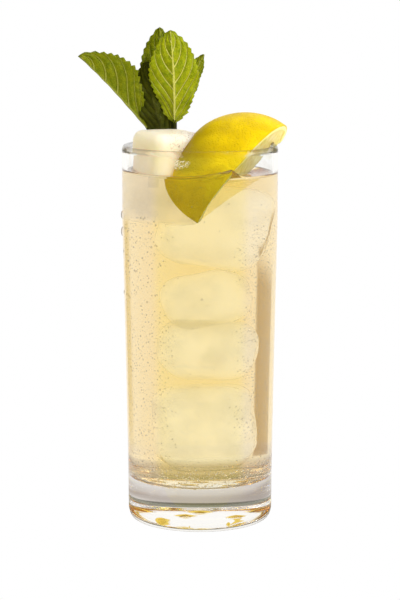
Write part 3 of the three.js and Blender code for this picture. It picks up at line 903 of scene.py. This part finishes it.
def add_leaf(form, uv, pale, midrib, side, half_width, narrowing, folds, wave, paleness_and_shade, petiole):
    """A closed leaf blade along its midrib: two sheets, folded, waved, puckered and toothed."""
    first, second, third = (Vector(p) for p in midrib)
    stations = LEAF_TEETH * TOOTH_CELLS
    rows = []
    for i in range(stations + 1):
        t = i / stations
        tooth = (t * LEAF_TEETH) % 1.0
        saw = tooth / 0.7 if tooth < 0.7 else (1 - tooth) / 0.3
        middle = first * (1 - t) ** 2 + second * 2 * t * (1 - t) + third * t ** 2
        along = ((second - first) * (1 - t) + (third - second) * t).normalized()
        across = Vector(side)
        across = (across - along * across.dot(along)).normalized()
        face = across.cross(along).normalized()
        bite = TOOTH_DEPTH * (0.75 + 0.5 * noise.noise(Vector((3.7 * int(t * LEAF_TEETH), half_width, 0))))
        row = []
        for cell in range(-LEAF_CELLS, LEAF_CELLS + 1):
            share = cell / LEAF_CELLS
            left = share < 0
            width = max(half_width * leaf_half_width(t, narrowing[0 if left else 1]), 0.35)
            reach = abs(share) * (width + half_width * bite * (2 * saw - 1) * abs(share) ** 6)
            fold = math.radians(folds[0] if left else folds[1])
            turn = -1 if left else 1
            out = across * (turn * math.cos(fold)) + face * math.sin(fold)
            normal = face * math.cos(fold) - across * (turn * math.sin(fold))
            ripple = wave * math.sin(7 * math.pi * t + (0 if left else 2)) * share ** 2
            bulge = math.cos(math.tau * vein_phase(t, share))
            bulge *= (1 - abs(share) ** 4) * min(1.0, 6 * abs(share))
            groove = -0.5 * math.exp(-((share * width) / 0.7) ** 2)
            row.append((middle + out * reach, normal, ripple - PUCKER * 0.5 * bulge - groove, share))
        rows.append((t, row))
    sheets = []
    for offset in (LEAF_THICKNESS / 2, -LEAF_THICKNESS / 2):
        sheets.append([
            [form.verts.new((point + normal * (lift + offset)) * MM) for point, normal, lift, _ in row]
            for _, row in rows
        ])
        for row in sheets[-1]:
            for vertex in row:
                vertex[pale] = paleness_and_shade
    places = [[(t, share) for _, _, _, share in row] for t, row in rows]

    def face_of(corners):
        try:
            new = form.faces.new([v for v, _ in corners])
        except ValueError:
            return
        new.smooth = True
        for loop, (_, (t, share)) in zip(new.loops, corners):
            loop[uv].uv = (0.5 + 0.5 * share, t)

    last = 2 * LEAF_CELLS
    for sheet, flip in ((sheets[0], False), (sheets[1], True)):
        for i in range(stations):
            for j in range(last):
                quad = [(i, j), (i, j + 1), (i + 1, j + 1), (i + 1, j)]
                corners = [(sheet[a][b], places[a][b]) for a, b in quad]
                face_of(corners[::-1] if flip else corners)
    edge = [(0, j) for j in range(last)] + [(i, last) for i in range(stations)]
    edge += [(stations, j) for j in range(last, 0, -1)] + [(i, 0) for i in range(stations, 0, -1)]
    for (a, b), (c, d) in zip(edge, edge[1:] + edge[:1]):
        face_of([
            (sheets[0][a][b], places[a][b]), (sheets[1][a][b], places[a][b]),
            (sheets[1][c][d], places[c][d]), (sheets[0][c][d], places[c][d]),
        ])


def add_tube(form, uv, route, radius, steps=16, sides=14, taper=1.0):
    """A closed round stalk that bends through a route of two or three points."""
    points = [Vector(p) for p in route]
    if len(points) == 2:
        points.insert(1, (points[0] + points[1]) / 2)
    first, second, third = points
    second = second * 2 - (first + third) / 2
    rings = []
    for i in range(steps + 1):
        t = i / steps
        middle = first * (1 - t) ** 2 + second * 2 * t * (1 - t) + third * t ** 2
        along = ((second - first) * (1 - t) + (third - second) * t).normalized()
        across = along.cross(Vector((0, 1, 0))).normalized()
        face = across.cross(along)
        size = radius * (1 + (taper - 1) * t)
        rings.append([
            form.verts.new((middle + (across * math.cos(a) + face * math.sin(a)) * size) * MM)
            for a in (math.tau * k / sides for k in range(sides))
        ])
    for low, high in zip(rings, rings[1:]):
        for j in range(sides):
            k = (j + 1) % sides
            new = form.faces.new((low[j], low[k], high[k], high[j]))
            new.smooth = True
            for loop in new.loops:
                loop[uv].uv = (0.5, 0.1)
    for ring in (rings[0][::-1], rings[-1]):
        cap = form.faces.new(ring)
        for loop in cap.loops:
            loop[uv].uv = (0.5, 0.1)


form = bmesh.new()
leaf_uv = form.loops.layers.uv.new("leaf")
leaf_pale_and_shade = form.verts.layers.float.new("paleness_and_shade")
add_tube(form, leaf_uv, STEM_ROUTE, STEM_RADIUS, taper=0.9)
for leaf in LEAVES.values():
    add_tube(form, leaf_uv, leaf["petiole"], PETIOLE_RADIUS, steps=8, sides=12)
    add_leaf(form, leaf_uv, leaf_pale_and_shade, **leaf)
bmesh.ops.recalc_face_normals(form, faces=form.faces)
mint_mesh = bpy.data.meshes.new("mint_sprig")
form.to_mesh(mint_mesh)
form.free()

# Mint leaf: a soft, slightly hairy green blade that glows yellow-green where light comes
# through, with a pale midrib and side veins and a fine net of darker cells between them.
mint_leaf, tree = new_material("mint_leaf")
leaf_place = add_node(tree, "ShaderNodeUVMap", uv_map="leaf")
blade = add_node(tree, "ShaderNodeSeparateXYZ", {0: leaf_place.outputs[0]})
share = maths(tree, "MULTIPLY_ADD", blade.outputs["X"], 2.0, -1.0)
reach = maths(tree, "ABSOLUTE", share)
lean = maths(tree, "POWER", reach, VEIN_CURVE)
climb = maths(tree, "MULTIPLY_ADD", lean, -VEIN_LEAN, blade.outputs["Y"])
on_left = maths(tree, "LESS_THAN", share, 0.0)
start = maths(tree, "MULTIPLY_ADD", on_left, 0.45, 0.35)
phase = maths(tree, "MULTIPLY_ADD", climb, 1 / VEIN_SPACING, start)
beat = maths(tree, "PINGPONG", phase, 0.5)
side_vein = eased(tree, beat, 0.02, 0.11, 1.0, 0.0)
fade = ranged(tree, reach, 0.5, 0.9, 1.0, 0.3)
side_vein = maths(tree, "MULTIPLY", side_vein, fade)
rib_width = ranged(tree, blade.outputs["Y"], 0.0, 0.9, 0.085, 0.03)
rib_share = maths(tree, "DIVIDE", reach, rib_width)
midrib = eased(tree, rib_share, 0.4, 1.0, 1.0, 0.0)
veins = maths(tree, "MAXIMUM", side_vein, midrib)
place_in_mm = place_in_millimetres(tree)
cells = add_node(
    tree, "ShaderNodeTexVoronoi", {"Vector": place_in_mm, "Scale": 1.0}, feature="DISTANCE_TO_EDGE"
)
mottle = add_node(tree, "ShaderNodeTexNoise", {"Vector": place_in_mm, "Scale": 0.5, "Detail": 4.0})
green = add_node(
    tree, "ShaderNodeValToRGB", {"Fac": mottle.outputs["Fac"]},
    stops=[(0.3, linear("#899D0B")), (0.7, linear("#B7C01C"))],
)
# Painted shade: the blade is up to a fifth darker along the side veins, as in the grooves they sink into.
painted_vein_shade = eased(tree, beat, 0.04, 0.2, 0.8, 1.0)
# Partly the greener upper side, partly painted shade: leaves behind the front one darken whole, the inner
# to a sixth.
paleness_and_shade = mesh_value(tree, "paleness_and_shade")
green_depth_and_shade = ranged(tree, paleness_and_shade, 0.0, 1.0, 0.1, 0.97)
level = maths(tree, "MULTIPLY", painted_vein_shade, green_depth_and_shade)
blade_green = scaled(tree, green.outputs[0], level)
vein_level = maths(tree, "POWER", paleness_and_shade, 1.7)
pale_veins = maths(tree, "MULTIPLY", veins, vein_level)
leaf_green = mixed_colour(tree, pale_veins, blade_green, linear("#E2E485"))
net = ranged(tree, cells.outputs["Distance"], 0.0, 0.3)
height = maths(tree, "MULTIPLY_ADD", net, 0.3, veins)
bump = add_node(tree, "ShaderNodeBump", {"Height": height, "Strength": 0.8, "Distance": 0.0005})
shader = add_node(tree, "ShaderNodeBsdfPrincipled", {
    "Base Color": leaf_green, "Roughness": 0.5, "IOR": 1.4, "Normal": bump.outputs[0],
    "Specular IOR Level": 0.25,
})
through = add_node(tree, "ShaderNodeBsdfTranslucent", {"Color": leaf_green, "Normal": bump.outputs[0]})
mixed = mixed_shader(tree, 0.25, shader.outputs[0], through.outputs[0])
spot = add_node(tree, "ShaderNodeSeparateXYZ", {0: place_in_mm})
sodden = ranged(tree, spot.outputs["Z"], DRINK_LEVEL + 1.5, DRINK_LEVEL, 0.0, 0.94)
glassy = see_through(tree)
body = mixed_shader(tree, sodden, mixed, glassy)
dress(tree, body)
place(mint_mesh, mint_leaf, "mint", "mint_sprig")

# Bubbles: carbon dioxide beads, a fifth of a millimetre to a millimetre across, that cling to
# the inside of the wall. They crowd at the left, in the strip at the right and round the floor.
SMALLEST_BUBBLE = 0.17
LARGEST_BUBBLE = 0.45
BUBBLE_BED_COLUMNS = 120
# Each crowd: from and to angle right of the front, from and to height, bubbles per square
# millimetre, and their size as a share.
BUBBLE_CROWDS = (
    (-78, -34, 96, 127, 0.4, 0.95),
    (-80, -28, 30, 88, 0.7, 0.7),
    (38, 70, 40, 127, 1.2, 0.65),
    (-75, 75, 19.5, 25, 1.6, 1.0),
    (-85, 85, 24, 140, 0.025, 0.9),
)


def soft_range(value, low, high, edge):
    """1 inside a range, falling to 0 within an edge outside it."""
    return max(0.0, min(1.0, (value - low) / edge + 1, (high - value) / edge + 1))


def bubble_bed(name):
    """The wetted wall, with how densely bubbles sit on it and how large they grow at each point."""
    profile = [point for point in bore(DRINK_LEVEL - 2, -0.1, steps=45) if point[0] > 20]
    bed = bpy.data.meshes.new(name)
    vertices = []
    crowding = []
    sizes = []
    for i in range(BUBBLE_BED_COLUMNS + 1):
        side = -90 + 180 * i / BUBBLE_BED_COLUMNS
        angle = math.radians(side - 90)
        for radius, height in profile:
            vertices.append((radius * math.cos(angle) * MM, radius * math.sin(angle) * MM, height * MM))
            patches = []
            for left, right, low, high, amount, size in BUBBLE_CROWDS:
                patch = soft_range(side, left, right, 10) * soft_range(height, low, high, 4) * amount
                uneven = max(0.0, 0.6 + 0.8 * noise.noise(Vector((side / 9, height / 7, 1))))
                patches.append((patch * uneven, size))
            total = sum(patch for patch, _ in patches)
            crowding.append(total * 1e6)
            sizes.append(sum(patch * size for patch, size in patches) / total if total else 1.0)
    count = len(profile)
    faces = [
        (i * count + j, (i + 1) * count + j, (i + 1) * count + j + 1, i * count + j + 1)
        for i in range(BUBBLE_BED_COLUMNS) for j in range(count - 1)
    ]
    bed.from_pydata(vertices, [], faces)
    bed.attributes.new("crowding", "FLOAT", "POINT").data.foreach_set("value", crowding)
    bed.attributes.new("size", "FLOAT", "POINT").data.foreach_set("value", sizes)
    return bed


def bubble_tree():
    """Scatters beads on a bed, each as large as the place lets it grow."""
    tree = bpy.data.node_groups.new("cling_bubbles", "GeometryNodeTree")
    tree.interface.new_socket("Geometry", in_out="INPUT", socket_type="NodeSocketGeometry")
    for name, kind in (("Smallest Radius", "Float"), ("Largest Radius", "Float"), ("Seed", "Int"),
                       ("Material", "Material")):
        tree.interface.new_socket(name, in_out="INPUT", socket_type="NodeSocket" + kind)
    tree.interface.new_socket("Geometry", in_out="OUTPUT", socket_type="NodeSocketGeometry")
    start = add_node(tree, "NodeGroupInput").outputs
    crowding = add_node(tree, "GeometryNodeInputNamedAttribute", {"Name": "crowding"}, data_type="FLOAT")
    spots = add_node(
        tree, "GeometryNodeDistributePointsOnFaces",
        {"Mesh": start["Geometry"], "Density": crowding.outputs["Attribute"], "Seed": start["Seed"]},
    )
    chance = add_node(
        tree, "FunctionNodeRandomValue", {"Min": 0.0, "Max": 1.0, "Seed": start["Seed"]}, data_type="FLOAT"
    )
    rare_large = maths(tree, "POWER", chance.outputs["Value"], 3.0)
    radius = ranged(tree, rare_large, 0.0, 1.0, start["Smallest Radius"], start["Largest Radius"])
    growth = add_node(tree, "GeometryNodeInputNamedAttribute", {"Name": "size"}, data_type="FLOAT")
    grown = maths(tree, "MULTIPLY", radius, growth.outputs["Attribute"])
    bead = add_node(tree, "GeometryNodeMeshIcoSphere", {"Radius": 1.0, "Subdivisions": 2})
    round_bead = add_node(tree, "GeometryNodeSetShadeSmooth", {"Geometry": bead.outputs["Mesh"]})
    beads = add_node(
        tree, "GeometryNodeInstanceOnPoints",
        {"Points": spots.outputs["Points"], "Instance": round_bead.outputs["Geometry"],
         "Scale": grown},
    )
    real = add_node(tree, "GeometryNodeRealizeInstances", {"Geometry": beads.outputs["Instances"]})
    made = add_node(
        tree, "GeometryNodeSetMaterial",
        {"Geometry": real.outputs["Geometry"], "Material": start["Material"]},
    )
    add_node(tree, "NodeGroupOutput", {"Geometry": made.outputs["Geometry"]})
    return tree


# Gas bead: empty inside, so light bends away from it as it does from air under water.
gas_bead, tree = new_material("gas_bead")
bead = add_node(tree, "ShaderNodeBsdfGlass", {"Color": linear("#FFFFFF"), "Roughness": 0.0, "IOR": 0.75})
dress(tree, bead.outputs[0])

bed = bpy.data.objects.new("bubble_bed", bubble_bed("bubble_bed"))
SCENE.collection.objects.link(bed)
scatter = bed.modifiers.new("cling_bubbles", "NODES")
scatter.node_group = bubble_tree()
settings = {
    "Smallest Radius": SMALLEST_BUBBLE * MM, "Largest Radius": LARGEST_BUBBLE * MM, "Seed": 7,
    "Material": gas_bead,
}
for socket in scatter.node_group.interface.items_tree:
    if socket.in_out == "INPUT" and socket.name in settings:
        scatter[socket.identifier] = settings[socket.name]
bubbles = bpy.data.meshes.new_from_object(bed.evaluated_get(bpy.context.evaluated_depsgraph_get()))
bubbles.name = "bubbles"
bpy.data.objects.remove(bed)
place(bubbles, gas_bead, "drink")

# Foam: a raft of thin-walled bubbles left on the dry wall above the drink, in front of the lemon.
FOAM_MIDDLE = (-7.3, 151.6)
FOAM_REACH = (3.4, 1.5)
FOAM_COUNT = 12
FOAM_FILM = 0.2
water, tree = new_material("water_film")
shader = add_node(tree, "ShaderNodeBsdfPrincipled", {
    "Base Color": linear("#FFFFFF"), "Roughness": 0.0, "IOR": 1.33, "Transmission Weight": 1.0,
})
dress(tree, shader.outputs[0])


def add_ball(form, centre, radii, turn=0.0, inwards=False):
    """A smooth ball in millimetres, with its faces turned inwards for the hollow of a film."""
    spin = Matrix.Rotation(turn, 4, "Z")
    scale = Matrix.Diagonal(Vector(radii) * MM).to_4x4()
    made = bmesh.ops.create_icosphere(
        form, subdivisions=3, radius=1.0, matrix=Matrix.Translation(Vector(centre) * MM) @ spin @ scale
    )
    faces = {face for vertex in made["verts"] for face in vertex.link_faces}
    for face in faces:
        face.smooth = True
    if inwards:
        bmesh.ops.reverse_faces(form, faces=list(faces))


form = bmesh.new()
draw = random.Random(11)
wall_radius = inner_radius(FOAM_MIDDLE[1])
for i in range(FOAM_COUNT):
    angle = math.tau * i / FOAM_COUNT
    spread = 0.35 + 0.65 * draw.random()
    radius = 0.55 + 0.5 * draw.random()
    x = FOAM_MIDDLE[0] + FOAM_REACH[0] * math.cos(angle) * spread
    z = FOAM_MIDDLE[1] + FOAM_REACH[1] * math.sin(angle) * spread
    y = -math.sqrt((wall_radius - radius * 0.9) ** 2 - x * x)
    add_ball(form, (x, y, z), (radius,) * 3)
    add_ball(form, (x, y, z), (radius - FOAM_FILM,) * 3, inwards=True)
foam = bpy.data.meshes.new("foam_bubbles")
form.to_mesh(foam)
form.free()
place(foam, water, "drink")

# Water drops: condensation that has run together into beads on the outside at the left, each
# given by its angle right of the front, its height and half its own height.
DROPS = (
    (-88, 128.0, 1.7),
    (-89, 121.0, 1.9),
    (-80, 113.5, 0.6),
    (-84, 96.0, 0.8),
)
form = bmesh.new()
for side, height, half_height in DROPS:
    angle = math.radians(side - 90)
    radius = outer_radius(height)
    centre = (radius * math.cos(angle), radius * math.sin(angle), height)
    add_ball(form, centre, (0.32 * half_height, 0.75 * half_height, half_height), turn=angle)
drops = bpy.data.meshes.new("water_drops")
form.to_mesh(drops)
form.free()
place(drops, water, "glass")
